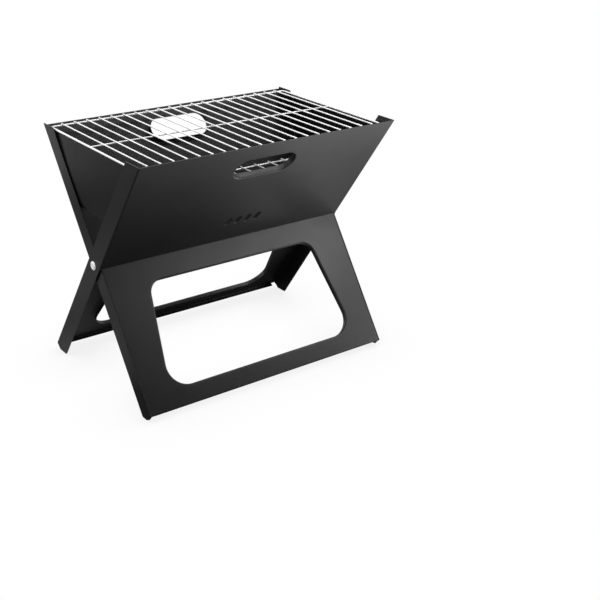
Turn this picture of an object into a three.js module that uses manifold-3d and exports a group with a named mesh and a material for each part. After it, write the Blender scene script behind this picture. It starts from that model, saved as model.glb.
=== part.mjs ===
// Folding X-frame camp grill, open for use. Millimetres, +Z up, X along the length,
// Y front (-) to back (+). Origin on the ground, under the pivot axis.
// Two frames cross at the pivot: the outer one is front wall and rear leg, the inner one
// rear wall and front leg. Each is drawn upright in frame coordinates (x, v, u), with v
// its depth and u the distance up from the pivot, and then leaned over.
import * as THREE from "three";
import { mergeVertices } from "three/addons/utils/BufferGeometryUtils.js";
import Module from "manifold-3d";

const wasm = await Module();
wasm.setup();

// ---- driving dimensions ----
const LEAN = (35.3 * Math.PI) / 180; // each frame from upright
const SIN = Math.sin(LEAN);
const COS = Math.cos(LEAN);
const PIVOT_Z = 201.3;
const SHEET = 1; // sheet thickness
const BEND = 1.6; // outer bend radius
const BEND_STEPS = 3;

// wallSide is the side (-1 front, 1 back) of the wall and its web; the leg is opposite.
const OUTER = {
  wallName: "front_wall_panel",
  legName: "rear_leg_panel",
  wallSide: -1,
  halfLength: 225, // over the side strips
  halfDepth: 15.5, // half width of the side strips
  wallTop: 245.5, // pivot to top edge of the wall, along the frame
  foot: 247.1, // pivot to bottom edge of the leg
  webEdge: 10.1, // pivot to the near edge of both webs
  stripTopZ: 392.7, // level cut of the side strips
  chamferV: 2.5, // where the foot chamfer meets the ground
};
const INNER = {
  wallName: "rear_wall_panel",
  legName: "front_leg_panel",
  wallSide: 1,
  halfLength: 222.2,
  halfDepth: 13.9,
  wallTop: 232,
  foot: 242.5,
  webEdge: 9.9,
  stripTopZ: 386,
  chamferV: 3.2,
};

// Reach of cutting solids past the part they cut
const OVERCUT = 10;
const ACROSS = [-400, 400];
const BELOW = -80;
const ABOVE = 600;

// ---- materials ----
const standard = (color, roughness, metalness) => () =>
  new THREE.MeshStandardMaterial({ color, roughness, metalness });
const MATERIALS = {
  // colour, roughness, metalness
  black: standard(0x1c1c1d, 0.48, 0.35),
  chrome: standard(0xd9dadc, 0.18, 1),
  zinc: standard(0xb4b6b9, 0.35, 1),
};

// ---- solids ----
function solid(geometry) {
  const bare = geometry.clone();
  for (const name of Object.keys(bare.attributes))
    if (name !== "position") bare.deleteAttribute(name);
  const merged = mergeVertices(bare, 1e-4);
  return new wasm.Manifold(
    new wasm.Mesh({
      numProp: 3,
      vertProperties: new Float32Array(merged.attributes.position.array),
      triVerts: new Uint32Array(merged.index.array),
    }),
  );
}

function geometryOf(manifold) {
  const mesh = manifold.getMesh();
  const positions = new Float32Array(mesh.numVert * 3);
  for (let i = 0; i < mesh.numVert; i++) {
    const start = i * mesh.numProp;
    positions.set(mesh.vertProperties.subarray(start, start + 3), i * 3);
  }
  const geometry = new THREE.BufferGeometry();
  geometry.setAttribute("position", new THREE.BufferAttribute(positions, 3));
  geometry.setIndex(new THREE.BufferAttribute(new Uint32Array(mesh.triVerts), 1));
  return geometry;
}

// Box from three [low, high] ranges.
const box = ([x0, x1], [y0, y1], [z0, z1]) =>
  solid(
    new THREE.BoxGeometry(x1 - x0, y1 - y0, z1 - z0).translate(
      (x0 + x1) / 2,
      (y0 + y1) / 2,
      (z0 + z1) / 2,
    ),
  );
const slab = (z0, z1) => box(ACROSS, ACROSS, [z0, z1]);
const centred = (half) => [-half, half];
// Range between two distances out from x = 0, on the left (-1) or right (1).
const spanX = (side, near, far) => (side < 0 ? [-far, -near] : [near, far]);

// Cylinder along X, centred at (x, 0, z).
const cylinderX = (radius, length, x, z) =>
  solid(
    new THREE.CylinderGeometry(radius, radius, length, 24)
      .rotateZ(Math.PI / 2)
      .translate(x, 0, z),
  );

const extrude = (points, depth) =>
  new THREE.ExtrudeGeometry(new THREE.Shape(points), { depth, bevelEnabled: false });

// Outline in (x, u) pushed along v.
const alongV = (points, [v0, v1]) =>
  solid(extrude(points, v1 - v0).rotateX(Math.PI / 2).translate(0, v1, 0));

// Outline in (y, z), or (v, u), pushed along x.
const YZ_TO_X = new THREE.Matrix4().makeBasis(
  new THREE.Vector3(0, 1, 0),
  new THREE.Vector3(0, 0, 1),
  new THREE.Vector3(1, 0, 0),
);
const alongX = (points, [x0, x1]) =>
  solid(
    extrude(points.map(([y, z]) => new THREE.Vector2(y, z)), x1 - x0)
      .applyMatrix4(YZ_TO_X)
      .translate(x0, 0, 0),
  );

// Convex outline with rounded corners, offset inwards. Corners are [x, y, radius],
// counter-clockwise; each is rounded in the given number of steps.
function outline(corners, steps, inset = 0) {
  const count = corners.length;
  const points = [];
  corners.forEach(([x, y, fullRadius], i) => {
    const before = corners[(i + count - 1) % count];
    const after = corners[(i + 1) % count];
    const arriving = new THREE.Vector2(x - before[0], y - before[1]).normalize();
    const leaving = new THREE.Vector2(after[0] - x, after[1] - y).normalize();
    const shift = inset / (1 + arriving.dot(leaving));
    const cornerX = x - shift * (arriving.y + leaving.y);
    const cornerY = y + shift * (arriving.x + leaving.x);
    const radius = fullRadius - inset;
    const turn = Math.atan2(arriving.cross(leaving), arriving.dot(leaving));
    const reach = radius * Math.tan(turn / 2);
    const centreX = cornerX - arriving.x * reach - arriving.y * radius;
    const centreY = cornerY - arriving.y * reach + arriving.x * radius;
    const start = Math.atan2(-arriving.x, arriving.y);
    for (let step = 0; step <= steps; step++) {
      const angle = start + (turn * step) / steps;
      points.push(
        new THREE.Vector2(
          centreX + radius * Math.cos(angle),
          centreY + radius * Math.sin(angle),
        ),
      );
    }
  });
  return points;
}

const rectangle = (halfX, halfY, radius, centreY = 0) => [
  [-halfX, centreY - halfY, radius],
  [halfX, centreY - halfY, radius],
  [halfX, centreY + halfY, radius],
  [-halfX, centreY + halfY, radius],
];

const group = new THREE.Group();
group.name = "folding_camp_grill";
function add(name, shape, material) {
  const geometry = shape instanceof THREE.BufferGeometry ? shape : geometryOf(shape);
  const mesh = new THREE.Mesh(geometry, material());
  mesh.name = name;
  group.add(mesh);
}

// ---- frame panels ----
const HOLE_R = 3.3; // pivot hole, also the washer bore

const STRIP_BOTTOM = -275; // raw strip ends, before the level cuts
const STRIP_RUN_ON = 30; // above the wall's top edge
const STRIP_LAP = 4; // overlap with the wall's flanges

const ASH_LIP = 12.5; // lip under each wall, leaving an ash slot between
const ASH_LIP_END = 7; // its ends, in from the frame's
const FOOT_LIP = 7; // lip along the bottom edge of each leg
const FOOT_LIP_END = 9;
const LIP_SET = 0.4; // both lips start this far inside the web's outer face

const LEG_GAP = 0.3; // between a side strip and the leg flange inside it
const LEG_FLANGE_SHORT = 1; // leg flanges stop short of the strip's edge
const LEG_FLANGE_TOP = -20; // and short of the pivot washers
const LEG_BOTTOM_Z = 1.5;

const SLOT_R = 20.5; // handle slot half height
const SLOT_LIP = 9.5;
const SLOT_STEPS = 7;
const SLOT = rectangle(54, SLOT_R, SLOT_R - 0.01, 193); // radius leaves a sliver of flat

const WINDOW_LIP = 8;
const WINDOW_STEPS = 6;
// leg window corners: x, u, radius
const WINDOW = [
  [-178, -214, 34],
  [178, -214, 34],
  [153.5, -46, 24],
  [-153.5, -46, 24],
];

const VENT_COUNT = 4; // slanted vents with round ends
const VENT_ROW_X = 11.7; // middle of the row
const VENT_PITCH = 18.1;
const VENT_U = 61;
const VENT_HALF = 8.8; // half length
const VENT_R = 4.3;
const VENT_LEAN = (19 * Math.PI) / 180;
const VENT_POINTS = 16;

// Range of v between two distances in from the outer face of a web on the given side.
const fromWeb = (halfDepth, side, near, far) =>
  side < 0 ? [near - halfDepth, far - halfDepth] : [halfDepth - far, halfDepth - near];

// Folded channel: web on the given side, flanges reaching tip on the other side.
function channel(halfX, halfDepth, side, tip, [u0, u1]) {
  const points = []; // drawn with the web at v = -halfDepth
  const bend = (x, radius, from, to) => {
    for (let i = 0; i <= BEND_STEPS; i++) {
      const angle = (from + ((to - from) * i) / BEND_STEPS) * Math.PI;
      points.push([
        x + radius * Math.cos(angle),
        BEND - halfDepth + radius * Math.sin(angle),
      ]);
    }
  };
  const bendX = halfX - BEND;
  points.push([-halfX, tip]);
  bend(-bendX, BEND, 1, 1.5);
  bend(bendX, BEND, 1.5, 2);
  points.push([halfX, tip], [halfX - SHEET, tip]);
  bend(bendX, BEND - SHEET, 2, 1.5);
  bend(-bendX, BEND - SHEET, 1.5, 1);
  points.push([-halfX + SHEET, tip]);
  const turned = points.map(([x, v]) => new THREE.Vector2(-side * x, -side * v));
  return solid(extrude(turned, u1 - u0).translate(0, 0, u0));
}

// Opening with a lip one sheet thick, standing inwards from the web.
function withOpening(panel, corners, steps, halfDepth, side, lip) {
  return panel
    .add(alongV(outline(corners, steps), fromWeb(halfDepth, side, 0, lip)))
    .subtract(
      alongV(
        outline(corners, steps, SHEET),
        fromWeb(halfDepth, side, -OVERCUT, lip + OVERCUT),
      ),
    );
}

// One vent cutter; mirror = -1 flips it in x.
function vent(index, mirror, depthRange) {
  const x = VENT_ROW_X + (index - (VENT_COUNT - 1) / 2) * VENT_PITCH;
  const points = [];
  for (let k = 0; k < VENT_POINTS; k++) {
    const angle = (k / VENT_POINTS) * 2 * Math.PI + Math.PI / VENT_POINTS;
    const endCentre = Math.sign(Math.sin(angle)) * (VENT_HALF - VENT_R);
    const point = new THREE.Vector2(
      VENT_R * Math.cos(angle),
      VENT_R * Math.sin(angle) + endCentre,
    ).rotateAround(new THREE.Vector2(), -VENT_LEAN);
    points.push(new THREE.Vector2(mirror * (x + point.x), VENT_U + point.y));
  }
  if (mirror < 0) points.reverse();
  return alongV(points, depthRange);
}

// Cutter for the strip corner outside the leg's bottom edge: a chamfer from that edge
// down to the ground.
function footCut({ halfLength, halfDepth, wallSide, foot, chamferV }) {
  const edge = -wallSide * halfDepth;
  const outside = edge - wallSide * OVERCUT;
  const groundU = -(PIVOT_Z - wallSide * chamferV * SIN) / COS;
  const bottom = STRIP_BOTTOM - OVERCUT;
  const points = [
    [outside, -foot],
    [edge, -foot],
    [chamferV, groundU],
    [chamferV, bottom],
    [outside, bottom],
  ];
  return alongX(points, centred(halfLength + OVERCUT));
}

// Leans a panel over and lifts it to the pivot.
const placed = (panel, frame) =>
  solid(
    geometryOf(panel)
      .rotateX(-frame.wallSide * LEAN)
      .translate(0, 0, PIVOT_Z),
  );

// A wall and its full-length side strips.
function wallPanel(frame) {
  const { halfLength, halfDepth, wallSide: side, webEdge, wallTop } = frame;
  const stripTop = wallTop + STRIP_RUN_ON;
  const pastDepth = centred(halfDepth + OVERCUT);
  let panel = channel(halfLength, halfDepth, side, halfDepth, [webEdge, stripTop]);
  // the web ends at the top edge, the strips run on
  panel = panel.subtract(
    box(centred(halfLength - SHEET), pastDepth, [wallTop, stripTop + OVERCUT]),
  );
  for (const end of [-1, 1])
    panel = panel.add(
      box(spanX(end, halfLength - SHEET, halfLength), centred(halfDepth), [
        STRIP_BOTTOM,
        webEdge + STRIP_LAP,
      ]),
    );
  panel = panel.add(
    box(
      centred(halfLength - ASH_LIP_END),
      fromWeb(halfDepth, side, LIP_SET, SHEET + ASH_LIP),
      [webEdge, webEdge + SHEET],
    ),
  );
  panel = withOpening(panel, SLOT, SLOT_STEPS, halfDepth, side, SLOT_LIP);
  for (let i = 0; i < VENT_COUNT; i++) panel = panel.subtract(vent(i, -side, pastDepth));
  panel = panel
    .subtract(cylinderX(HOLE_R, 2 * (halfLength + OVERCUT), 0, 0))
    .subtract(footCut(frame));
  return placed(panel, frame)
    .subtract(slab(frame.stripTopZ, ABOVE))
    .subtract(slab(BELOW, 0));
}

// A leg and its flanges, inside the strips of the same frame.
function legPanel(frame) {
  const { halfDepth, webEdge, foot } = frame;
  const side = -frame.wallSide;
  const halfX = frame.halfLength - SHEET - LEG_GAP;
  const tip = halfDepth - LEG_FLANGE_SHORT;
  let panel = channel(halfX, halfDepth, side, tip, [-foot, -webEdge])
    .subtract(
      box(
        centred(halfX + OVERCUT),
        fromWeb(halfDepth, side, BEND, 2 * halfDepth + OVERCUT),
        [LEG_FLANGE_TOP, 0],
      ),
    )
    .add(
      box(
        centred(halfX - FOOT_LIP_END),
        fromWeb(halfDepth, side, LIP_SET, FOOT_LIP),
        [-foot, -foot + SHEET],
      ),
    );
  panel = withOpening(panel, WINDOW, WINDOW_STEPS, halfDepth, side, WINDOW_LIP);
  return placed(panel, frame).subtract(slab(BELOW, LEG_BOTTOM_Z));
}

for (const frame of [OUTER, INNER]) {
  add(frame.wallName, wallPanel(frame), MATERIALS.black);
  add(frame.legName, legPanel(frame), MATERIALS.black);
}

// ---- pivot rivets and washers ----
const PIVOT_GAP = 0.3; // between neighbouring parts on the pivot
const SHANK_R = 3;
const HEAD_R = 7;
const RIVET_SEGMENTS = 20;
const SPACER_R = 8;
const BACKING_R = 7;
const BACKING_OUTER_X = INNER.halfLength - SHEET - PIVOT_GAP;
const BACKING_INNER_X = BACKING_OUTER_X - SHEET;

function rivet(side) {
  const tailX = BACKING_INNER_X - PIVOT_GAP; // under the bucked head
  const faceX = OUTER.halfLength;
  // x, radius; from the bucked head out to the dimple in the domed head
  const profile = [
    [tailX - 2, 0],
    [tailX - 2, 2.6],
    [tailX - 1.5, 3.9],
    [tailX - 0.7, 4.7],
    [tailX, 5],
    [tailX, SHANK_R],
    [faceX + PIVOT_GAP, SHANK_R],
    [faceX + PIVOT_GAP, HEAD_R],
    [faceX + 0.9, HEAD_R - 0.15],
    [faceX + 1.7, HEAD_R - 0.9],
    [faceX + 2.4, HEAD_R - 2.1],
    [faceX + 3, HEAD_R - 4],
    [faceX + 3, 2.2],
    [faceX + 2.1, 1.4],
    [faceX + 1.9, 0],
  ];
  const geometry = new THREE.LatheGeometry(
    profile.map(([x, radius]) => new THREE.Vector2(radius, x)),
    RIVET_SEGMENTS,
  ).rotateZ(-Math.PI / 2); // lathe axis Y onto X
  if (side < 0) geometry.rotateZ(Math.PI);
  return geometry.translate(0, 0, PIVOT_Z);
}

function washer(side, innerX, outerX, radius) {
  const x = (side * (innerX + outerX)) / 2;
  const thickness = outerX - innerX;
  return cylinderX(radius, thickness, x, PIVOT_Z).subtract(
    cylinderX(HOLE_R, thickness + 2 * OVERCUT, x, PIVOT_Z),
  );
}

const SIDES = [
  [-1, "left"],
  [1, "right"],
];
for (const [side, tag] of SIDES) {
  add("pivot_rivet_" + tag, rivet(side), MATERIALS.chrome);
  const spacerInnerX = INNER.halfLength + PIVOT_GAP;
  const spacerOuterX = OUTER.halfLength - SHEET - PIVOT_GAP;
  add(
    "spacer_washer_" + tag,
    washer(side, spacerInnerX, spacerOuterX, SPACER_R),
    MATERIALS.zinc,
  );
  add(
    "backing_washer_" + tag,
    washer(side, BACKING_INNER_X, BACKING_OUTER_X, BACKING_R),
    MATERIALS.zinc,
  );
}

// ---- end plates: lipped pans standing in the V ----
const END_X = 218.6; // outer face
const END_BOTTOM = 279.5;
const END_TOP = 380.8;
const END_LIP = 12;
const END_LIP_DROP = 6; // lips stop below the top so the rim wire clears them
const END_CLEAR = 0.6; // between a plate and the walls

// y at height z of a line a clearance inside the wall's inner face.
function wallY({ halfDepth, wallSide }, z, clearance) {
  const v = halfDepth - SHEET - clearance;
  return wallSide * (((z - PIVOT_Z + v * SIN) / COS) * SIN + v * COS);
}

const trapezoid = (z0, z1, clearance) => [
  [wallY(OUTER, z0, clearance), z0],
  [wallY(INNER, z0, clearance), z0],
  [wallY(INNER, z1, clearance), z1],
  [wallY(OUTER, z1, clearance), z1],
];

function endPlate(side) {
  const block = alongX(
    trapezoid(END_BOTTOM, END_TOP, END_CLEAR),
    spanX(side, END_X - END_LIP, END_X),
  );
  const hollow = alongX(
    trapezoid(END_BOTTOM + SHEET, END_TOP + OVERCUT, END_CLEAR + SHEET),
    spanX(side, END_X - END_LIP - OVERCUT, END_X - SHEET),
  );
  const aboveLips = box(spanX(side, 0, END_X - SHEET), ACROSS, [
    END_TOP - END_LIP_DROP,
    ABOVE,
  ]);
  return block.subtract(hollow).subtract(aboveLips);
}
for (const [side, tag] of SIDES) add("end_plate_" + tag, endPlate(side), MATERIALS.black);

// ---- grates: rim, lengthwise stay, and bars across the top ----
const RIM_R = 1.45;
const RIM_STEPS = 6;
const BAR_R = 1.1;
const WIRE_GAP = 0.3;

// z is the centre height of the rim wire; halfX and halfY run to its centre line.
const COOKING = {
  z: 382.55,
  halfX: 218,
  halfY: 128.5,
  corner: 5,
  barHalf: 131,
  barCount: 20,
  barPitch: 21,
};
const CHARCOAL = {
  z: 282.45,
  halfX: 213,
  halfY: 60.5,
  corner: 10,
  barHalf: 64,
  barCount: 15,
  barPitch: 28,
};

// Closed rim of eight-sided wire.
function rim({ halfX, halfY, corner, z }) {
  const flat = RIM_R * Math.tan(Math.PI / 8); // half of one side of the octagon
  const bevel = RIM_R - flat;
  const loop = (grow) =>
    outline(rectangle(halfX + grow, halfY + grow, corner + grow), RIM_STEPS);
  const shape = new THREE.Shape(loop(flat));
  shape.holes.push(new THREE.Path(loop(-flat)));
  return new THREE.ExtrudeGeometry(shape, {
    depth: 2 * flat,
    bevelEnabled: true,
    bevelSegments: 1,
    bevelSize: bevel,
    bevelThickness: bevel,
  }).translate(0, 0, z - flat);
}

// Straight eight-sided wire along Y with a flat on top.
function wire(half) {
  const cornerR = BAR_R / Math.cos(Math.PI / 8);
  return new THREE.CylinderGeometry(cornerR, cornerR, 2 * half, 8).rotateY(Math.PI / 8);
}

function addGrate(name, grate) {
  const barZ = grate.z + RIM_R + WIRE_GAP + BAR_R;
  const stayZ = barZ - 2 * BAR_R - WIRE_GAP;
  const stay = wire(grate.halfX - RIM_R - WIRE_GAP)
    .rotateZ(Math.PI / 2)
    .translate(0, 0, stayZ);
  add(name + "_rim", rim(grate), MATERIALS.chrome);
  add(name + "_stay", stay, MATERIALS.chrome);
  for (let i = 0; i < grate.barCount; i++) {
    const x = (i - (grate.barCount - 1) / 2) * grate.barPitch;
    add(
      name + "_bar_" + String(i + 1).padStart(2, "0"),
      wire(grate.barHalf).translate(x, 0, barZ),
      MATERIALS.chrome,
    );
  }
}
addGrate("cooking_grate", COOKING);
addGrate("charcoal_grate", CHARCOAL);

export default group;
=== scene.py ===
# A folding charcoal grill. Two frames of bent sheet cross like an X and turn on a rivet at
# each side. Each has a wall above the pivot and a leg below it on the opposite side.
# X is the grill's length, -Y its front, +Z up, with the floor at z = 0.
# Pieces are drawn in millimetres and scaled to metres when their mesh is made.
import math
from collections import namedtuple

import bmesh
import bpy
from mathutils import Matrix, Vector, geometry, noise


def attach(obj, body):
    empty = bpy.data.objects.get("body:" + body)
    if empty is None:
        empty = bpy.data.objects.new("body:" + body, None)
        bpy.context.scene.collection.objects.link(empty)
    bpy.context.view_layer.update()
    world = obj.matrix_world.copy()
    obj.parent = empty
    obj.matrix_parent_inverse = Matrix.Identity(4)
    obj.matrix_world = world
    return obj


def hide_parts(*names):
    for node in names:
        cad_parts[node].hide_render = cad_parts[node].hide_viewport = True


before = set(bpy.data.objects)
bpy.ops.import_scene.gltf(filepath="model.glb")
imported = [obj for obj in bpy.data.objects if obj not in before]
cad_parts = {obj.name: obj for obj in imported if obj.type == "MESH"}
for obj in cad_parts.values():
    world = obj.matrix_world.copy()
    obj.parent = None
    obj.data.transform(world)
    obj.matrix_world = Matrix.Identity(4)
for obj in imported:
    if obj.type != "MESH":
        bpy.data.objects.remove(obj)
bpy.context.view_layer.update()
MM = 0.001

# ---------------------------------------------------------------- dimensions, mm
LEAN = math.radians(35.3)  # of each frame from upright
SIN, COS = math.sin(LEAN), math.cos(LEAN)
PIVOT_Z = 201.3
SHEET = 1.0  # thickness
BEND = 1.6  # outer radius of the frame bends
STEP = 9.0  # spacing of the mesh points on sheet metal

# Lengths along a frame are measured from the pivot, positive up the wall.
# half_x: middle to the outer side face     half_depth: pivot plane to a web's outer face
# wall_top: top of the wall                 foot: length of the strips below the pivot
# cut: height of the strips' level top      edge: from the pivot to the nearest web edge
# chamfer: where the chamfered foot starts, past the pivot plane
# lean: side of Y that the wall leans to
Frame = namedtuple("Frame", "half_x half_depth wall_top foot cut edge chamfer lean")
OUTER = Frame(225.0, 15.5, 245.5, 247.1, 392.7, 10.1, 2.5, -1)
INNER = Frame(222.2, 13.9, 232.0, 242.5, 386.0, 9.9, -3.2, 1)

LEG_GAP = 0.3  # between a leg's flanges and the strips round them
LEG_TOP = -20.5  # top of the leg flanges, along the frame
LEG_FLOOR_GAP = 1.6  # height of the leg flanges over the floor
NOTCH = 1.2  # relief between a leg flange and the web above it
ASH_LIP, FOOT_LIP = 12.5, 7.0
ASH_LIP_INSET, FOOT_LIP_INSET = 7, 9  # from the web's ends
PIVOT_HOLE_R = 3.3

LIP_BEND = 2.6  # bend round the slot and the window
SLOT_MIDDLE, SLOT_HALF, SLOT_R, SLOT_LIP = 193.0, 54.0, 20.5, 9.5
WINDOW_LIP = 8.0

VENT_COUNT, VENT_SEGMENTS = 4, 24
VENT_X, VENT_PITCH, VENT_MIDDLE = 11.7, 18.1, 61.0
VENT_HALF, VENT_R, VENT_LEAN = 9.2, 4.6, math.radians(19)
# rounded edge of a vent and its inner wall: spread beyond the hole, depth
VENT_EDGE = ((0.36, 0.0), (0.22, 0.03), (0.11, 0.11), (0.03, 0.22), (0.0, 0.36), (0.0, 1.3))

END_X, END_BOTTOM, END_TOP = 218.6, 279.5, 380.8
END_LIP, END_CLEAR, END_BEND, END_CORNER = 12.0, 0.6, 2.2, 6.0
END_LIP_TOP = END_TOP - 6.0
END_BOW = 1.5

RIM_R, BAR_R = 1.45, 1.1


def trapezoid(half_low, low, half_high, high):
    return [(-half_low, low), (half_low, low), (half_high, high), (-half_high, high)]


# openings: corners as (x, along) and their radii
SLOT = (
    trapezoid(SLOT_HALF, SLOT_MIDDLE - SLOT_R, SLOT_HALF, SLOT_MIDDLE + SLOT_R),
    [SLOT_R - 0.01] * 4,
)
WINDOW = (
    trapezoid(half_low=178.0, low=-214.0, half_high=153.5, high=-46.0),
    [34.0, 34.0, 24.0, 24.0],
)
# sine and cosine over the steps of a right-angle bend
QUARTER = [(math.sin(math.pi / 2 * i / 6), math.cos(math.pi / 2 * i / 6)) for i in range(7)]


# ---------------------------------------------------------------- mesh helpers
class Surf:
    """Vertices (mm) and faces; those added with face() are welded."""

    def __init__(self):
        self.verts, self.faces, self.index = [], [], {}

    def at(self, p):
        key = (round(p[0] * 200), round(p[1] * 200), round(p[2] * 200))
        if key not in self.index:
            self.index[key] = len(self.verts)
            self.verts.append(Vector(p))
        return self.index[key]

    def face(self, *points):
        corners = []
        for p in points:
            i = self.at(p)
            if i not in corners:
                corners.append(i)
        if len(corners) > 2:
            self.faces.append(corners)

    def rows(self, rows, closed=False, flip=False):
        """Quads between consecutive rows of points."""
        for a, b in zip(rows, rows[1:]):
            count = len(a)
            for i in range(count if closed else count - 1):
                j = (i + 1) % count
                if flip:
                    self.face(a[i], b[i], b[j], a[j])
                else:
                    self.face(a[i], a[j], b[j], b[i])

    def band(self, first, second, count):
        """Quads between two rings of vertices, given by their first indices."""
        for k in range(count):
            k2 = (k + 1) % count
            self.faces.append([first + k, second + k, second + k2, first + k2])


def mesh_object(name, surf, mapping=lambda p: p, flip=False):
    mesh = bpy.data.meshes.new(name)
    verts = [Vector(mapping(p)) * MM for p in surf.verts]
    faces = [f[::-1] if flip else f for f in surf.faces]
    mesh.from_pydata(verts, [], faces)
    mesh.validate()
    mesh.update()
    obj = bpy.data.objects.new(name, mesh)
    bpy.context.scene.collection.objects.link(obj)
    return obj


def shade(obj, sharp_degrees):
    for polygon in obj.data.polygons:
        polygon.use_smooth = True
    obj.data.set_sharp_from_angle(angle=math.radians(sharp_degrees))


def solid_object(name, surf, sharp_degrees):
    """Object whose face normals are made to point outwards."""
    obj = mesh_object(name, surf)
    bm = bmesh.new()
    bm.from_mesh(obj.data)
    bmesh.ops.recalc_face_normals(bm, faces=bm.faces)
    bm.to_mesh(obj.data)
    bm.free()
    shade(obj, sharp_degrees)
    return obj


def register(obj, body, slot, *nodes):
    """Ties an object to its moving body and hides the CAD nodes it replaces. slot is not used.
    """
    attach(obj, body)
    if nodes:
        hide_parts(*nodes)
    return obj


def sheet(obj):
    """Turns an outer surface into sheet metal: thickness inwards, edges eased."""
    solid = obj.modifiers.new("thickness", "SOLIDIFY")
    solid.thickness = SHEET * MM
    solid.offset = -1
    solid.use_even_offset = True
    solid.use_quality_normals = True
    bevel = obj.modifiers.new("edge", "BEVEL")
    bevel.width = 0.22 * MM
    bevel.segments = 2
    bevel.limit_method = "ANGLE"
    bevel.angle_limit = math.radians(50)
    bevel.harden_normals = False
    bpy.context.view_layer.update()
    depsgraph = bpy.context.evaluated_depsgraph_get()
    made = bpy.data.meshes.new_from_object(obj.evaluated_get(depsgraph))
    old = obj.data
    obj.modifiers.clear()
    obj.data = made
    bpy.data.meshes.remove(old)
    obj.data.name = obj.name
    shade(obj, 35)
    # large faces keep their own normal, so that bends stay crisp
    weighted = obj.modifiers.new("normals", "WEIGHTED_NORMAL")
    weighted.mode = "FACE_AREA"
    weighted.weight = 90
    weighted.keep_sharp = True


# ---------------------------------------------------------------- outlines
def left_of(direction):
    return Vector((-direction.y, direction.x))


def rounded(corner, before, after, radius, steps):
    """Arc in a corner between two directions: where it starts, and its points."""
    normal = left_of(before)
    turn = math.atan2(before.x * after.y - before.y * after.x, before.dot(after))
    tangent = corner - before * (radius * math.tan(turn / 2))
    centre = tangent + normal * radius
    start = math.atan2(-normal.y, -normal.x)
    points = []
    for k in range(steps + 1):
        angle = start + turn * k / steps
        points.append(
            Vector((centre.x + radius * math.cos(angle), centre.y + radius * math.sin(angle)))
        )
    return tangent, points


def outline(corners, radii, inset, steps):
    """Convex outline with rounded corners, offset inwards; counter-clockwise."""
    points = []
    for i, radius in enumerate(radii):
        corner = Vector(corners[i])
        before = (corner - Vector(corners[i - 1])).normalized()
        after = (Vector(corners[(i + 1) % len(corners)]) - corner).normalized()
        n1, n2 = left_of(before), left_of(after)
        moved = corner + (n1 + n2) * (inset / (1 + n1.dot(n2)))
        points += rounded(moved, before, after, max(radius - inset, 0.0), steps)[1]
    return points


def subdivided(points, step=STEP, closed=True, like=None):
    """The same outline with long edges split, as often as those of like are."""
    like = like or points
    out = []
    count = len(points)
    for i in range(count if closed else count - 1):
        j = (i + 1) % count
        parts = max(1, math.ceil((like[j] - like[i]).length / step))
        out += [points[i].lerp(points[j], k / parts) for k in range(parts)]
    if not closed:
        out.append(points[-1])
    return out


def inside(p, loop):
    hit = False
    for i, a in enumerate(loop):
        b = loop[i - 1]
        if (a.y > p.y) != (b.y > p.y):
            if p.x < (b.x - a.x) * (p.y - a.y) / (b.y - a.y) + a.x:
                hit = not hit
    return hit


def clearance(p, loop):
    """Distance from a point to a closed outline."""
    best = 1e9
    for i, a in enumerate(loop):
        edge = loop[(i + 1) % len(loop)] - a
        share = max(0.0, min(1.0, (p - a).dot(edge) / max(edge.length_squared, 1e-12)))
        best = min(best, (p - a - edge * share).length)
    return best


def plate(surf, outer, holes, lift, flip=False):
    """Triangulated flat region between an outline and its holes, with points
    inside so that it can carry a slight warp. lift turns (a, b) into a point."""
    points, edges = [], []
    for loop in [outer] + holes:
        first = len(points)
        points += [Vector((p.x, p.y)) for p in loop]
        edges += [(first + i, first + (i + 1) % len(loop)) for i in range(len(loop))]
    x0, x1 = min(p.x for p in outer), max(p.x for p in outer)
    y0, y1 = min(p.y for p in outer), max(p.y for p in outer)
    columns, lines = max(1, int((x1 - x0) / STEP)), max(1, int((y1 - y0) / STEP))
    margin = STEP * 0.45
    for i in range(columns + 1):
        for j in range(lines + 1):
            x = x0 + (x1 - x0) * (i + 0.5 * (j % 2)) / (columns + 0.5)
            p = Vector((x, y0 + (y1 - y0) * j / lines))
            if not inside(p, outer) or clearance(p, outer) < margin:
                continue
            if any(inside(p, hole) or clearance(p, hole) < margin for hole in holes):
                continue
            points.append(p)
    result = geometry.delaunay_2d_cdt(points, edges, [], 0, 1e-5)
    verts, triangles = result[0], result[2]
    for triangle in triangles:
        a, b, c = (verts[i] for i in triangle)
        middle = (a + b + c) / 3
        if not inside(middle, outer) or any(inside(middle, hole) for hole in holes):
            continue
        area = (b.x - a.x) * (c.y - a.y) - (b.y - a.y) * (c.x - a.x)
        if abs(area) < 1e-7:
            continue
        if area < 0:
            b, c = c, b
        if flip:
            b, c = c, b
        surf.face(lift(a), lift(b), lift(c))


# ---------------------------------------------------------------- frame surfaces
# Drawn as (x, depth inwards from the web's outer face, along the frame from the pivot).
def frame_point(frame, side, x, depth, along):
    """Point in the grill. side is the side of the pivot plane the web lies on."""
    across = side * (frame.half_depth - depth)
    y = frame.lean * along * SIN + across * COS
    return (x, y, PIVOT_Z + along * COS - frame.lean * across * SIN)


def level_along(height, half_depth, depth, part=1):
    """Where a level plane crosses a flange at a depth; part is 1 on a wall, -1 on a leg."""
    return (height - PIVOT_Z + part * (half_depth - depth) * SIN) / COS


def warp(x, y, seed):
    """A pressed sheet is never quite flat: a fraction of a millimetre."""
    coarse = noise.noise(Vector((x * 0.009, y * 0.011, seed)))
    fine = noise.noise(Vector((x * 0.023, y * 0.025, seed + 7.0)))
    return 0.16 * (coarse + 0.4 * fine)


def rolled_edge(bend, depth):
    """Round a bend and straight in: (distance outside the final wall, depth)."""
    rings = [(bend * (1 - sine), bend * (1 - cosine)) for sine, cosine in QUARTER]
    return rings + [(0.0, (bend + depth) / 2), (0.0, depth)]


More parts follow.
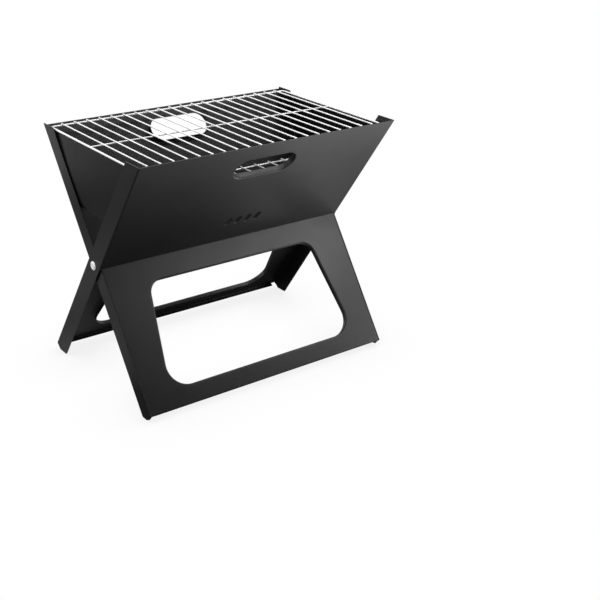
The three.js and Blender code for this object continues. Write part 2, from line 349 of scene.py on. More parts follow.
def loop_rows(surf, rows):
    """Skins a lip's rings and returns the first one as a hole for the plate."""
    surf.rows(rows, closed=True)
    return [Vector((p[0], p[2])) for p in rows[0]]


def lip(surf, opening, lip_depth, steps):
    """Rolled lip round an opening; returns its hole in the plate."""
    base = outline(*opening, SHEET - LIP_BEND, steps)
    rows = []
    for spread, depth in rolled_edge(LIP_BEND, lip_depth):
        loop = subdivided(outline(*opening, SHEET - spread, steps), like=base)
        rows.append([(p.x, depth, p.y) for p in loop])
    return loop_rows(surf, rows)


def vent_loop(number, mirror, spread):
    """Outline of one leaning vent with round ends."""
    x = VENT_X + (number - 1.5) * VENT_PITCH
    radius = VENT_R + spread
    cosine, sine = math.cos(-VENT_LEAN), math.sin(-VENT_LEAN)
    points = []
    for k in range(VENT_SEGMENTS):
        angle = (k / VENT_SEGMENTS) * 2 * math.pi + math.pi / VENT_SEGMENTS
        end = (VENT_HALF - VENT_R) * (1 if math.sin(angle) >= 0 else -1)
        px, py = radius * math.cos(angle), radius * math.sin(angle) + end
        points.append(
            Vector(
                (mirror * (x + px * cosine - py * sine), VENT_MIDDLE + px * sine + py * cosine)
            )
        )
    if mirror < 0:
        points.reverse()
    return points


def vent(surf, number, mirror):
    """Vent with an eased edge; returns its hole in the plate."""
    rows = []
    for spread, depth in VENT_EDGE:
        rows.append([(p.x, depth, p.y) for p in vent_loop(number, mirror, spread)])
    return loop_rows(surf, rows)


def row_shares(bottom, top):
    """Even shares of a web's side edge."""
    count = int((top - bottom) / STEP)
    return [i / count for i in range(count + 1)]


def column(bottom, top, shares):
    return [bottom + (top - bottom) * share for share in shares]


def web_start(web_half, lip_half, bottom, side_rows):
    """Web outline along its bottom and up the +X side, and the x stations of its lip."""
    parts = int(2 * lip_half / STEP)
    xs = [-lip_half + 2 * lip_half * i / parts for i in range(parts + 1)]
    outer = [Vector((-web_half, bottom)), Vector((-lip_half, bottom))]
    outer += [Vector((x, bottom + BEND)) for x in [-lip_half] + xs[1:]]
    outer.append(Vector((lip_half, bottom)))
    outer += [Vector((web_half, along)) for along in side_rows]
    return outer, xs


def run_back(half, along):
    """Level run from +X to -X, without its first point."""
    parts = int(2 * half / STEP)
    return [Vector((half - 2 * half * i / parts, along)) for i in range(1, parts + 1)]


def bottom_lip(surf, xs, bottom, reach):
    """Lip turned inwards along a web's bottom edge."""
    profile = [(BEND * (1 - cosine), bottom + BEND * (1 - sine)) for sine, cosine in QUARTER]
    profile += [(BEND + (reach - BEND) * i / 2, bottom) for i in (1, 2)]
    surf.rows([[(x, depth, along) for x in xs] for depth, along in profile], flip=True)


def side_bend(surf, half_x, side, bottom, web_top, flange_top, shares):
    """Bend from the web into a side flange, whose top may differ from the web's."""
    rows = []
    for i, (sine, cosine) in enumerate(QUARTER):
        x = side * (half_x - BEND + BEND * sine)
        depth = BEND - BEND * cosine
        top = web_top + (flange_top - web_top) * i / 6
        rows.append([(x, depth, along) for along in column(bottom, top, shares)])
    surf.rows(rows, flip=side > 0)


def web_plate(surf, outer, holes):
    plate(surf, outer, holes, lambda p: (p.x, 0.0, p.y))


def side_plate(surf, half_x, side, outer, holes):
    plate(surf, outer, holes, lambda p: (side * half_x, p.x, p.y), flip=side < 0)


def strip_outline(frame, shares):
    """Full-length side strip as (depth, along), counter-clockwise."""
    half, foot, edge = frame.half_depth, frame.foot, frame.edge
    deep = 2 * half
    chamfer = half + frame.chamfer

    def top(depth):
        return level_along(frame.cut, half, depth)

    def floor_at(depth):
        return level_along(0, half, depth)

    loop = [Vector((BEND, along)) for along in column(edge, top(BEND), shares)]
    for i in (1, 2, 3):
        depth = BEND + (deep - BEND) * i / 3
        loop.append(Vector((depth, top(depth))))
    below = [
        (deep, top(deep)),
        # foot: eased corner, chamfer, then level on the floor
        (deep, -foot + 0.5),
        (deep - 0.4, -foot),
        (chamfer + 0.9, floor_at(chamfer + 0.9) * 0.9 - foot * 0.1 + 0.35),
        (chamfer - 0.7, floor_at(chamfer - 0.7)),
        (0.8, floor_at(0.8)),
        (0.0, floor_at(0.0) + 1.2),
        # relief under the web
        (0.0, edge - 1.6),
        (0.5, edge - 1.0),
    ]
    loop += subdivided([Vector(p) for p in below], closed=False)[1:]
    return loop[::-1]  # drawn clockwise above


def wall_surface(frame):
    """Outer surface of a wall with its full-length strips."""
    surf = Surf()
    half_x, bottom, top = frame.half_x, frame.edge, frame.wall_top
    web_half = half_x - BEND
    shares = row_shares(bottom, top)
    side_rows = column(bottom, top, shares)
    holes = [lip(surf, SLOT, SLOT_LIP, steps=14)]
    # mirrored on the rear wall, so that both look alike from outside
    holes += [vent(surf, i, mirror=-frame.lean) for i in range(VENT_COUNT)]
    outer, xs = web_start(web_half, half_x - ASH_LIP_INSET, bottom, side_rows)
    outer += run_back(web_half, top)
    outer += [Vector((-web_half, along)) for along in side_rows[::-1][1:-1]]
    web_plate(surf, outer, holes)
    bottom_lip(surf, xs, bottom, SHEET + ASH_LIP)

    strip = strip_outline(frame, shares)
    pivot_hole = []
    for i in range(28):
        angle = 2 * math.pi * i / 28
        x, y = PIVOT_HOLE_R * math.cos(angle), PIVOT_HOLE_R * math.sin(angle)
        pivot_hole.append(Vector((frame.half_depth + x, y)))
    flange_top = level_along(frame.cut, frame.half_depth, BEND)
    for side in (-1, 1):
        side_bend(surf, half_x, side, bottom, top, flange_top, shares)
        side_plate(surf, half_x, side, strip, [pivot_hole])
    return surf


def leg_flange_outline(frame, side_rows):
    """Short leg flange as (depth, along), counter-clockwise."""
    half = frame.half_depth
    deep = 2 * half - 1

    def floor_at(depth):
        return level_along(LEG_FLOOR_GAP, half, depth, part=-1)

    loop = [Vector((BEND, along)) for along in side_rows]
    around = [
        (BEND, LEG_TOP),
        (deep - 4, LEG_TOP),
        (deep - 1.2, LEG_TOP - 1.2),
        (deep, LEG_TOP - 4),
        (deep, floor_at(deep) + 1.0),
        (deep - 1, floor_at(deep - 1)),
        (half - 1, floor_at(half - 1)),
        (BEND, -frame.foot),
    ]
    loop += subdivided([Vector(p) for p in around], closed=False)[1:-1]
    return loop[::-1]


def leg_surface(frame):
    """Outer surface of a leg, which fits between its frame's strips."""
    surf = Surf()
    half_x, bottom = frame.half_x - SHEET - LEG_GAP, -frame.foot
    web_half = half_x - BEND
    shares = row_shares(bottom, LEG_TOP)
    side_rows = column(bottom, LEG_TOP, shares)
    holes = [lip(surf, WINDOW, WINDOW_LIP, steps=12)]
    outer, xs = web_start(web_half, half_x - FOOT_LIP_INSET, bottom, side_rows)
    # above the flanges the web widens
    wide, notch = half_x - 0.5, LEG_TOP + NOTCH
    outer += [Vector((web_half, notch)), Vector((wide, notch)), Vector((wide, -frame.edge))]
    outer += run_back(wide, -frame.edge)
    outer += [Vector((-wide, notch)), Vector((-web_half, notch))]
    outer += [Vector((-web_half, along)) for along in side_rows[::-1][:-1]]
    web_plate(surf, outer, holes)
    bottom_lip(surf, xs, bottom, FOOT_LIP)
    flange = leg_flange_outline(frame, side_rows)
    for side in (-1, 1):
        side_bend(surf, half_x, side, bottom, LEG_TOP, LEG_TOP, shares)
        side_plate(surf, half_x, side, flange, [])
    return surf


# ---------------------------------------------------------------- panels
def add_panel(name, body, frame, side, surf, half_x, low, high, seed):
    """Panel in its place, warped except near x = +-half_x and near low and high."""

    def place(p):
        x, depth, along = p
        fade = min(1.0, max(0.0, (half_x - abs(x)) / 40.0)) * min(
            1.0, max(0.0, min(along - low, high - along) / 25.0)
        )
        depth += warp(x, along, seed) * fade * fade * (3 - 2 * fade)
        return frame_point(frame, side, x, depth, along)

    obj = mesh_object(name, surf, place, flip=side > 0)
    bm = bmesh.new()
    bm.from_mesh(obj.data)
    bmesh.ops.remove_doubles(bm, verts=bm.verts, dist=2e-6)
    bm.to_mesh(obj.data)
    bm.free()
    sheet(obj)
    return register(obj, body, "black_coat", name + "_panel")


def add_wall(name, body, frame, seed):
    low, high = frame.edge, frame.wall_top + 60
    surf = wall_surface(frame)
    return add_panel(name, body, frame, frame.lean, surf, frame.half_x, low, high, seed)


def add_leg(name, body, frame, seed):
    # a leg's web is on the other side of the pivot plane from its wall
    low, high = -frame.foot - 60, -frame.edge
    surf = leg_surface(frame)
    return add_panel(name, body, frame, -frame.lean, surf, frame.half_x - 2, low, high, seed)


black_pieces = [
    add_wall("front_wall", "front_frame", OUTER, seed=1.3),
    add_wall("rear_wall", "rear_frame", INNER, seed=5.1),
    add_leg("rear_leg", "front_frame", OUTER, seed=9.7),
    add_leg("front_leg", "rear_frame", INNER, seed=13.9),
]


# ---------------------------------------------------------------- end plates
def wall_y(frame, z, clear):
    """Y at a height, at a clearance inside a wall."""
    across = frame.half_depth - SHEET - clear
    return frame.lean * (((z - PIVOT_Z + across * SIN) / COS) * SIN + across * COS)


def end_path(inset):
    """Open path as (y, z): down the front slope, along the bottom, up the rear slope."""
    clear, bottom = END_CLEAR + inset, END_BOTTOM + inset
    front_top = Vector((wall_y(OUTER, END_LIP_TOP, clear), END_LIP_TOP))
    front_low = Vector((wall_y(OUTER, bottom, clear), bottom))
    rear_low = Vector((wall_y(INNER, bottom, clear), bottom))
    rear_top = Vector((wall_y(INNER, END_LIP_TOP, clear), END_LIP_TOP))
    points = [front_top]
    for before, corner, after, parts in (
        (front_top, front_low, rear_low, 9),
        (front_low, rear_low, rear_top, 12),
    ):
        tangent, arc = rounded(
            corner,
            (corner - before).normalized(),
            (after - corner).normalized(),
            max(END_CORNER - inset, 0.6),
            steps=6,
        )
        last = points[-1]
        points += [last.lerp(tangent, i / parts) for i in range(1, parts)] + arc
    last = points[-1]
    return points + [last.lerp(rear_top, i / 9) for i in range(1, 10)]


def end_plate(name, side, body, node):
    surf = Surf()
    rows = []
    for inset, depth in rolled_edge(END_BEND, END_LIP):
        rows.append([(side * (END_X - depth), p.x, p.y) for p in end_path(inset)])
    surf.rows(rows, flip=side > 0)

    outer = end_path(END_BEND)
    front, rear = outer[0], outer[-1]
    # above the lip the plate steps out to full width; its top corners are cut
    shoulder = END_TOP - 1.5
    front_edge = wall_y(OUTER, shoulder, END_CLEAR + 0.3)
    rear_edge = wall_y(INNER, shoulder, END_CLEAR + 0.3)
    cap = [
        rear,
        Vector((rear.x + 1.9, rear.y + 0.5)),
        Vector((rear_edge, shoulder)),
        Vector((rear_edge - 1.6, END_TOP)),
        Vector((front_edge + 1.6, END_TOP)),
        Vector((front_edge, shoulder)),
        Vector((front.x - 1.9, front.y + 0.5)),
        front,
    ]
    outer += subdivided(cap, closed=False)[1:-1]
    plate(surf, outer, [], lambda p: (side * END_X, p.x, p.y), flip=side < 0)

    def crowned(p):
        """The pressed plate bows outwards; its lip stays straight."""
        share = (p[2] - END_BOTTOM) / (END_TOP - END_BOTTOM)
        bow = END_BOW * math.sin(math.pi * max(0.0, min(1.0, share)))
        hold = min(1.0, max(0.0, (abs(p[0]) - END_X + 3.0) / 3.0))
        crown = hold * (bow + 0.4 * warp(p[1] * 1.6, p[2] * 1.6, 20.0 + side))
        return (p[0] + side * crown, p[1], p[2])

    obj = mesh_object(name, surf, crowned)
    sheet(obj)
    return register(obj, body, "black_coat", node)


black_pieces.append(end_plate("end_plate_l", -1, "left_end_plate", "end_plate_left"))
black_pieces.append(end_plate("end_plate_r", 1, "right_end_plate", "end_plate_right"))


# ---------------------------------------------------------------- grates
def sweep(surf, points, radius, segments, closed):
    """Round wire along a path of points, with eased ends when it is open."""
    count = len(points)
    rings = []
    for i, p in enumerate(points):
        if closed:
            before, after = points[i - 1], points[(i + 1) % count]
        else:
            before, after = points[max(i - 1, 0)], points[min(i + 1, count - 1)]
        forward = (after - before).normalized()
        across = forward.cross(Vector((0, 0, 1))).normalized()
        rings.append((p, forward, across, across.cross(forward).normalized()))
    radii = [radius] * count
    if not closed:
        first, last = rings[0], rings[-1]
        rings[0] = (first[0] + first[1] * 0.25, *first[1:])
        rings[-1] = (last[0] - last[1] * 0.25, *last[1:])
        rings = [first] + rings + [last]
        radii = [radius * 0.8] + radii + [radius * 0.8]
    base = len(surf.verts)
    for (p, _, across, upward), ring_radius in zip(rings, radii):
        for k in range(segments):
            angle = 2 * math.pi * k / segments
            around = across * math.cos(angle) + upward * math.sin(angle)
            surf.verts.append(p + around * ring_radius)
    total = len(rings)
    for i in range(total if closed else total - 1):
        surf.band(base + i * segments, base + ((i + 1) % total) * segments, segments)
    if not closed:
        end = base + (total - 1) * segments
        surf.faces.append([base + k for k in range(segments)])
        surf.faces.append([end + k for k in range(segments)][::-1])


def bead(surf, centre, radii, seed):
    """A small resistance-weld squeeze-out."""
    radius_x, radius_y, radius_z = radii
    base = len(surf.verts)
    rings, segments = 6, 10
    for i in range(1, rings):
        polar = math.pi * i / rings
        for k in range(segments):
            angle = 2 * math.pi * k / segments
            x, y = math.cos(angle), math.sin(angle)
            uneven = 1 + 0.14 * noise.noise(Vector((x * 2 + seed, y * 2, polar)))
            offset = (
                radius_x * uneven * math.sin(polar) * x,
                radius_y * uneven * math.sin(polar) * y,
                radius_z * math.cos(polar),
            )
            surf.verts.append(Vector(centre) + Vector(offset))
    top = len(surf.verts)
    surf.verts.append(Vector(centre) + Vector((0, 0, radius_z)))
    bottom = len(surf.verts)
    surf.verts.append(Vector(centre) - Vector((0, 0, radius_z)))
    for i in range(rings - 2):
        surf.band(base + i * segments, base + (i + 1) * segments, segments)
    end = base + (rings - 2) * segments
    for k in range(segments):
        k2 = (k + 1) % segments
        surf.faces.append([top, base + k, base + k2])
        surf.faces.append([bottom, end + k2, end + k])


def grate(tag, z, half_x, half_y, corner, bar_count, bar_pitch, bar_half):
    """Wire rim, a stay along its middle and bars across. z is the rim's middle."""
    # bars are welded down onto the rim, sinking slightly into it; the stay is under them
    bar_z = z + RIM_R + BAR_R - 0.12
    stay_z = bar_z - 2 * BAR_R + 0.1
    stay_half = half_x - RIM_R + 0.5
    pieces = []

    def add(name, surf, *nodes):
        obj = solid_object(tag + name, surf, sharp_degrees=50)
        pieces.append(register(obj, tag, "grate_wire", *nodes))

    rim = Surf()
    loop = outline(trapezoid(half_x, -half_y, half_x, half_y), [corner] * 4, 0.0, 9)
    loop = subdivided(loop, step=20.0)
    sweep(rim, [Vector((p.x, p.y, z)) for p in loop], RIM_R, 20, closed=True)
    # butt weld of the rim
    bead(rim, (-half_x * 0.12, half_y, z), (1.7, RIM_R + 0.22, RIM_R + 0.22), seed=3.3)
    add("_rim_wire", rim, tag + "_rim")

    stay = Surf()
    points = [Vector((-stay_half + 2 * stay_half * i / 12, 0, stay_z)) for i in range(13)]
    sweep(stay, points, BAR_R, 16, closed=False)
    add("_stay_wire", stay, tag + "_stay")

    welds = Surf()
    for i in range(bar_count):
        x = (i - (bar_count - 1) / 2) * bar_pitch
        bow = 0.25 * noise.noise(Vector((i * 3.1, 4.4, half_x)))
        points = []
        for k in range(13):
            y = -bar_half + 2 * bar_half * k / 12
            points.append(Vector((x + bow * (1 - (y / bar_half) ** 2), y, bar_z)))
        bar = Surf()
        sweep(bar, points, BAR_R, 16, closed=False)
        add("_bar_wire_%02d" % (i + 1), bar, "%s_bar_%02d" % (tag, i + 1))
        for y in (-half_y, half_y):
            bead(welds, (x, y, z + RIM_R - 0.1), (1.75, 1.7, 0.85), seed=i * 1.7 + y)
        bead(welds, (x, 0, stay_z + BAR_R - 0.1), (1.45, 1.45, 0.7), seed=i * 2.3)
    for side in (-1, 1):
        centre = (side * (stay_half - 0.2), 0, stay_z - 0.2)
        bead(welds, centre, (1.3, 1.9, 1.6), seed=side * 9.1)
    add("_welds", welds)
    return pieces


wires = grate(
    "cooking_grate", z=382.55, half_x=218.0, half_y=128.5, corner=5.0,
    bar_count=20, bar_pitch=21.0, bar_half=131.0,
)
wires += grate(
    "charcoal_grate", z=282.45, half_x=213.0, half_y=60.5, corner=10.0,
    bar_count=15, bar_pitch=28.0, bar_half=64.0,
)


# ---------------------------------------------------------------- rivets and washers
def lathe(name, profile, side, node, slot, closed=False, segments=48):
    """Turned piece from a profile of (x, radius) about the pivot axis."""
    rows = []
    for x, radius in profile:
        row = []
        for k in range(segments):
            angle = 2 * math.pi * k / segments
            y, z = radius * math.cos(angle), PIVOT_Z + radius * math.sin(angle)
            row.append((side * x, y, z))
        rows.append(row)
    if closed:
        rows.append(rows[0])
    surf = Surf()
    surf.rows(rows, closed=True)
    obj = solid_object(name, surf, sharp_degrees=32)
    return register(obj, "front_frame", slot, node)


INNER_FACE = INNER.half_x - SHEET  # inside of the inner frame's strips
BACKING_FACE = INNER_FACE - 0.3 - SHEET  # inside of the backing washers


def rivet_profile():
    """From the tail, inside the grill, to the head: (x, radius)."""
    head, tail = OUTER.half_x, BACKING_FACE - 0.3
    flared_tail = [
        (tail - 2.0, 0.0), (tail - 2.0, 2.2), (tail - 1.9, 2.8), (tail - 1.5, 3.9),
        (tail - 0.8, 4.7), (tail - 0.25, 5.0), (tail + 0.05, 4.9), (tail + 0.1, 3.0),
    ]
    seat = [(head - 0.1, 3.0), (head + 0.02, 6.6), (head + 0.25, 6.92)]
    dome = []
    for i in range(1, 12):
        angle = math.radians(8 + 72 * i / 11)
        dome.append((head + 0.35 + 2.6 * math.sin(angle), 2.6 + 4.4 * math.cos(angle)))
    dimple = [
        (head + 2.97, 2.9), (head + 2.9, 2.55), (head + 2.55, 2.2),
        (head + 2.1, 1.5), (head + 1.95, 0.7), (head + 1.9, 0.0),
    ]
    return flared_tail + seat + dome + dimple


def washer_profile(x0, x1, outer_r):
    """Flat ring with chamfered edges."""
    hole_r, ease = PIVOT_HOLE_R, 0.2
    return [
        (x0, hole_r + ease), (x0, outer_r - ease), (x0 + ease, outer_r), (x1 - ease, outer_r),
        (x1, outer_r - ease), (x1, hole_r + ease), (x1 - ease, hole_r), (x0 + ease, hole_r),
    ]


# spacers sit between the two frames, backing washers inside the inner one
SPACER = washer_profile(INNER.half_x + 0.05, OUTER.half_x - SHEET - 0.05, outer_r=8.0)
BACKING = washer_profile(BACKING_FACE, INNER_FACE - 0.15, outer_r=7.0)
rivets, washers = [], []
for side, tag in ((-1, "left"), (1, "right")):
    rivets.append(lathe("rivet_" + tag, rivet_profile(), side, "pivot_rivet_" + tag, "rivet"))
    for kind, profile in (("spacer_", SPACER), ("backing_", BACKING)):
        node = kind + "washer_" + tag
        washers.append(lathe(kind + tag, profile, side, node, "washer", closed=True))


# ---------------------------------------------------------------- shader helpers
def start_tree(owner, output_kind):
    """Empties the node tree of a material or world and adds its output."""
    owner.use_nodes = True
    tree = owner.node_tree
    tree.nodes.clear()
    return tree, tree.nodes.new(output_kind)


def add_node(tree, kind, inputs, **settings):
    """Node with its settings, and inputs that are either values or sockets to link."""
    node = tree.nodes.new(kind)
    for name, value in settings.items():
        setattr(node, name, value)
    for key, value in inputs.items():
        if isinstance(value, bpy.types.NodeSocket):
            tree.links.new(value, node.inputs[key])
        else:
            node.inputs[key].default_value = value
    return node


def noise_value(tree, vector, scale, detail, roughness):
    inputs = {"Scale": scale, "Detail": detail, "Roughness": roughness, "Vector": vector}
    return add_node(tree, "ShaderNodeTexNoise", inputs).outputs["Fac"]


def remap(tree, value, source, target, **settings):
    """Maps the range source onto the range target."""
    inputs = {
        "From Min": source[0], "From Max": source[1],
        "To Min": target[0], "To Max": target[1], "Value": value,
    }
    return add_node(tree, "ShaderNodeMapRange", inputs, **settings).outputs["Result"]


def mix_colour(tree, factor, a, b):
    inputs = {"A": a, "B": b, "Factor": factor}
    return add_node(tree, "ShaderNodeMix", inputs, data_type="RGBA").outputs["Result"]


def grain_bump(tree, vector, scale, strength, distance):
    height = noise_value(tree, vector, scale, detail=2.0, roughness=0.5)
    inputs = {"Strength": strength, "Distance": distance, "Height": height}
    return add_node(tree, "ShaderNodeBump", inputs).outputs["Normal"]


def calculate(tree, operation, a, b):
    return add_node(tree, "ShaderNodeMath", {0: a, 1: b}, operation=operation).outputs[0]


def split_by_camera(tree, output, rays, lit, seen):
    """Shows seen to the camera and lit to all other rays."""
    inputs = {0: rays.outputs["Is Camera Ray"], 1: lit.outputs[0], 2: seen.outputs[0]}
    mix = add_node(tree, "ShaderNodeMixShader", inputs)
    tree.links.new(mix.outputs[0], output.inputs[0])


# ---------------------------------------------------------------- materials
def black_coat(name, specular):
    """Baked satin black paint: fine orange peel, faint sheen changes, lighter edges that are
    partly wear and partly a painted highlight.
    """
    material = bpy.data.materials.new(name)
    tree, output = start_tree(material, "ShaderNodeOutputMaterial")
    place = tree.nodes.new("ShaderNodeTexCoord").outputs["Object"]
    tone = noise_value(tree, place, scale=9.0, detail=4.0, roughness=0.55)
    paint = mix_colour(
        tree,
        remap(tree, tone, source=(0.3, 0.7), target=(0.0, 1.0)),
        a=(0.0015, 0.0015, 0.0016, 1),
        b=(0.0026, 0.0026, 0.0027, 1),
    )
    # edges are where the rounded normal leaves the true one
    bevel = add_node(tree, "ShaderNodeBevel", {"Radius": 0.0009}, samples=4)
    true_normal = tree.nodes.new("ShaderNodeNewGeometry").outputs["Normal"]
    dot = add_node(
        tree,
        "ShaderNodeVectorMath",
        {0: bevel.outputs["Normal"], 1: true_normal},
        operation="DOT_PRODUCT",
    )
    edge = remap(tree, dot.outputs["Value"], source=(0.995, 0.86), target=(0.0, 0.55))
    # the sheet's edges are lightened: a little paint wear and a painted highlight along them
    wear_and_edge_highlight = mix_colour(tree, edge, a=paint, b=(0.012, 0.012, 0.0122, 1))
    patches = noise_value(tree, place, scale=26.0, detail=5.0, roughness=0.6)
    shader = add_node(
        tree,
        "ShaderNodeBsdfPrincipled",
        {
            "Base Color": wear_and_edge_highlight,
            "Roughness": remap(tree, patches, source=(0.25, 0.75), target=(0.40, 0.46)),
            "Specular IOR Level": specular,
            "IOR": 1.5,
            "Normal": grain_bump(tree, place, scale=900.0, strength=0.10, distance=0.0003),
        },
    )
    tree.links.new(shader.outputs[0], output.inputs[0])
    return material


def plated(name, base, roughness, scale, frost):
    """Bright plating: a metal sheen over a fine frosted grain."""
    material = bpy.data.materials.new(name)
    tree, output = start_tree(material, "ShaderNodeOutputMaterial")
    place = tree.nodes.new("ShaderNodeTexCoord").outputs["Object"]
    blotch = noise_value(tree, place, scale, detail=4.0, roughness=0.6)
    colour = mix_colour(
        tree,
        remap(tree, blotch, source=(0.35, 0.7), target=(0.0, 1.0)),
        a=(*base, 1),
        b=(base[0] * 0.84, base[1] * 0.84, base[2] * 0.85, 1),
    )
    metal = add_node(
        tree,
        "ShaderNodeBsdfPrincipled",
        {
            "Base Color": colour,
            "Metallic": 1.0,
            "Roughness": remap(tree, blotch, source=(0.3, 0.7), target=roughness),
            "Normal": grain_bump(tree, place, scale=700.0, strength=0.06, distance=0.0002),
        },
    )
    grain = add_node(tree, "ShaderNodeBsdfDiffuse", {"Color": colour, "Roughness": 0.4})
    share = remap(tree, blotch, source=(0.25, 0.75), target=(frost - 0.06, frost + 0.06))
    both = add_node(
        tree, "ShaderNodeMixShader", {0: share, 1: metal.outputs[0], 2: grain.outputs[0]}
    )
    tree.links.new(both.outputs[0], output.inputs[0])
    return material


coat = black_coat("black_coat", specular=0.5)
# the end plates get a copy with weaker specular reflection: painted shade that keeps them
# darker than the strips
shaded_plate_coat = black_coat("black_coat_plates_shaded", specular=0.3)
for obj in black_pieces:
    obj.data.materials.clear()
    obj.data.materials.append(shaded_plate_coat if obj.name.startswith("end_plate") else coat)

wire_plating = plated(
    "bright_wire", base=(0.86, 0.86, 0.87), roughness=(0.16, 0.26), scale=60.0, frost=0.52
)
rivet_plating = plated(
    "bright_rivet", base=(0.9, 0.9, 0.9), roughness=(0.2, 0.3), scale=180.0, frost=0.6
)
washer_plating = plated(
    "zinc_washer", base=(0.55, 0.56, 0.57), roughness=(0.3, 0.42), scale=120.0, frost=0.5
)
for pieces, plating in (
    (wires, wire_plating),
    (rivets, rivet_plating),
    (washers, washer_plating),
):
    for obj in pieces:
        obj.data.materials.append(plating)

# ---------------------------------------------------------------- floor
FLOOR_HALF = 30.0  # m
FLOOR_BASE = 0.05  # strength outside the pools
# pools of light on the floor: (x, y) in metres, reach in metres, strength
POOLS = (
    ((0.30, -0.38), 0.24, 4.75), ((0.30, -0.10), 0.24, 0.82),
    ((0.50, -0.38), 0.28, 2.15), ((0.50, -0.10), 0.28, 0.20),
    ((0.78, -0.38), 0.34, 4.73), ((0.78, 0.20), 0.34, 1.45),
    ((1.15, -0.38), 0.42, 2.77), ((1.15, 0.20), 0.42, 1.56),
    ((0.00, -0.42), 0.30, 2.60), ((-0.37, -0.16), 0.15, 0.10),
    ((-0.27, 0.12), 0.20, 0.36), ((-0.42, 0.40), 0.25, 0.52),
    ((-0.52, 0.60), 0.25, 0.06), ((-0.62, 0.80), 0.25, 0.20),
    ((0.25, 0.60), 0.45, 0.90), ((0.05, 1.15), 0.60, 0.90),
)


def pool(tree, position, centre, reach, strength):
    """A soft round pool of light on the floor."""
    distance = add_node(
        tree, "ShaderNodeVectorMath", {0: position, 1: (*centre, 0.0)}, operation="DISTANCE"
    )
    return remap(
        tree,
        distance.outputs["Value"],
        source=(0.0, reach),
        target=(strength, 0.0),
        interpolation_type="SMOOTHSTEP",
    )


def floor_material():
    material = bpy.data.materials.new("pale_floor")
    tree, output = start_tree(material, "ShaderNodeOutputMaterial")
    rays = tree.nodes.new("ShaderNodeLightPath")
    position = tree.nodes.new("ShaderNodeNewGeometry").outputs["Position"]
    # what the camera sees: a pale floor with a faint contact shade under the grill
    occlusion = add_node(
        tree, "ShaderNodeAmbientOcclusion", {"Distance": 0.14}, samples=8
    )
    shade_strength = remap(
        tree, occlusion.outputs["AO"], source=(0.35, 1.0), target=(0.86, 1.0)
    )
    seen = add_node(
        tree, "ShaderNodeEmission", {"Color": (1, 1, 1, 1), "Strength": shade_strength}
    )
    # what the grill sees: the same floor, lit in pools; diffuse rays get at least 1
    total = FLOOR_BASE
    for centre, reach, strength in POOLS:
        light = pool(tree, position, centre, reach, strength)
        total = calculate(tree, "ADD", light, total)
    total = calculate(tree, "MAXIMUM", total, rays.outputs["Is Diffuse Ray"])
    lit = add_node(tree, "ShaderNodeEmission", {"Strength": total})
    split_by_camera(tree, output, rays, lit, seen)
    return material


def add_floor():
    mesh = bpy.data.meshes.new("floor")
    corners = trapezoid(FLOOR_HALF, -FLOOR_HALF, FLOOR_HALF, FLOOR_HALF)
    mesh.from_pydata([(x, y, 0) for x, y in corners], [], [(0, 1, 2, 3)])
    floor = bpy.data.objects.new("floor", mesh)
    bpy.context.scene.collection.objects.link(floor)
    mesh.materials.append(floor_material())


add_floor()

# ---------------------------------------------------------------- world
WORLD_BASE = 0.02  # strength outside the lobes
# wide bright areas of the studio: direction, power (higher is narrower), strength
LOBES = (
    ((0.4, 0.75, 0.6), 4.0, 1.0),
    ((-0.7, 0.7, 0.0), 6.0, 2.6),
    ((-1.0, -0.1, 0.1), 3.0, 0.8),
    ((0.1, 1.0, 0.15), 3.0, 1.0),
    ((1.0, 0.35, 0.15), 6.0, 0.8),
    ((0.0, 0.1, 1.0), 4.0, 0.3),
)


def lobe(tree, view, direction, power, strength):
    dot = add_node(
        tree,
        "ShaderNodeVectorMath",
        {0: view, 1: Vector(direction).normalized()},
        operation="DOT_PRODUCT",
    )
    facing = calculate(tree, "MAXIMUM", dot.outputs["Value"], 0.0)
    return calculate(tree, "MULTIPLY", calculate(tree, "POWER", facing, power), strength)


def add_world():
    """White to the camera; bright lobes to the grill."""
    world = bpy.data.worlds.new("studio")
    bpy.context.scene.world = world
    tree, output = start_tree(world, "ShaderNodeOutputWorld")
    rays = tree.nodes.new("ShaderNodeLightPath")
    seen = add_node(
        tree, "ShaderNodeBackground", {"Color": (1, 1, 1, 1), "Strength": 1.0}
    )
    view = tree.nodes.new("ShaderNodeTexCoord").outputs["Generated"]
    total = WORLD_BASE
    for direction, power, strength in LOBES:
        light = lobe(tree, view, direction, power, strength)
        total = calculate(tree, "ADD", light, total)
    total = calculate(tree, "MAXIMUM", total, rays.outputs["Is Diffuse Ray"])
    lit = add_node(tree, "ShaderNodeBackground", {"Strength": total})
    split_by_camera(tree, output, rays, lit, seen)


add_world()

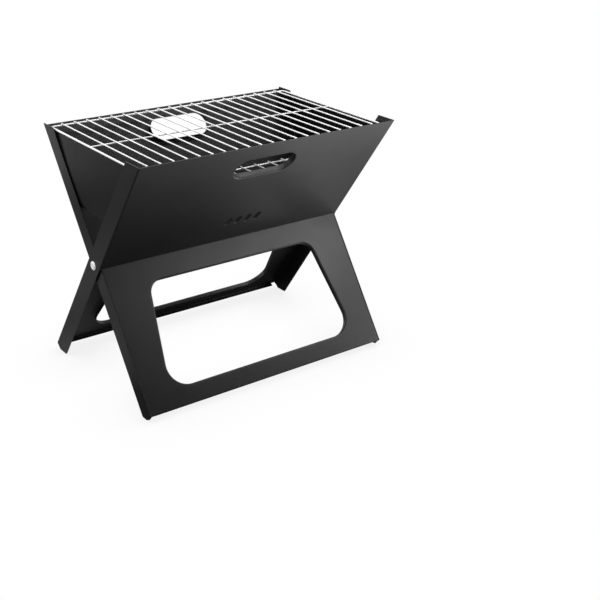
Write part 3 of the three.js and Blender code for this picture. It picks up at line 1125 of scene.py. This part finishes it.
# ---------------------------------------------------------------- lights and camera
# name, place, point aimed at, (width, height), radiance; metres
SOFTBOXES = (
    ("low_right", (0.55, -0.35, 0.10), (0.15, -0.08, 0.25), (0.2, 0.2), 6.0),
    ("low_far", (0.90, -0.50, 0.15), (0.15, -0.08, 0.25), (0.3, 0.3), 1.94),
    ("front_low", (1.10, -0.867, 0.65), (0.05, -0.05, 0.12), (0.38, 0.38), 1.4),
    ("strip_left", (-0.10, -0.28, 0.40), (-0.15, -0.06, 0.15), (0.25, 0.12), 0.6),
    ("strip_mid", (0.15, -0.30, 0.42), (0.05, -0.06, 0.15), (0.25, 0.12), 2.4),
    ("strip_right", (0.40, -0.32, 0.42), (0.15, -0.06, 0.15), (0.25, 0.12), 6.0),
    ("front_right", (0.70, -0.60, 0.60), (0.10, -0.06, 0.15), (0.3, 0.3), 1.9),
    ("lips", (0.89, -0.24, 1.66), (0.0, 0.0, 0.2), (0.5, 0.5), 6.5),
    ("left_front", (-1.2, -0.6, 0.50), (-0.2, -0.1, 0.05), (0.2, 0.2), 16.0),
    ("left_panel", (-0.35, 0.42, 0.28), (-0.222, 0.10, 0.33), (0.10, 0.16), 0.95),
    ("top", (0.0, 0.2, 1.8), (0, 0, 0.2), (1.2, 1.2), 3.4),
)


def softbox(name, place, target, size, radiance):
    data = bpy.data.lights.new(name, "AREA")
    data.shape = "RECTANGLE"
    data.size, data.size_y = size
    data.energy = radiance * math.pi * size[0] * size[1]
    light = bpy.data.objects.new(name, data)
    light.location = place
    light.rotation_mode = "QUATERNION"
    light.rotation_quaternion = (Vector(target) - Vector(place)).to_track_quat("-Z", "Y")
    light.visible_camera = False
    bpy.context.scene.collection.objects.link(light)


def add_camera():
    """Looks down at the grill from the front left."""
    data = bpy.data.cameras.new("camera")
    data.sensor_width = 36.0
    data.lens = 63.7098
    camera = bpy.data.objects.new("camera", data)
    bpy.context.scene.collection.objects.link(camera)
    right = Vector((0.796719, -0.604012, 0.020229))
    up = Vector((0.235925, 0.341664, 0.909728))
    backward = Vector((-0.556398, -0.720025, 0.414712))
    turn = Matrix((right, up, backward)).transposed().to_4x4()
    camera.matrix_world = Matrix.Translation((-0.874287, -1.346410, 0.818929)) @ turn
    bpy.context.scene.camera = camera


for box in SOFTBOXES:
    softbox(*box)
add_camera()
bpy.context.scene.view_settings.view_transform = "Standard"
bpy.context.scene.view_settings.look = "None"
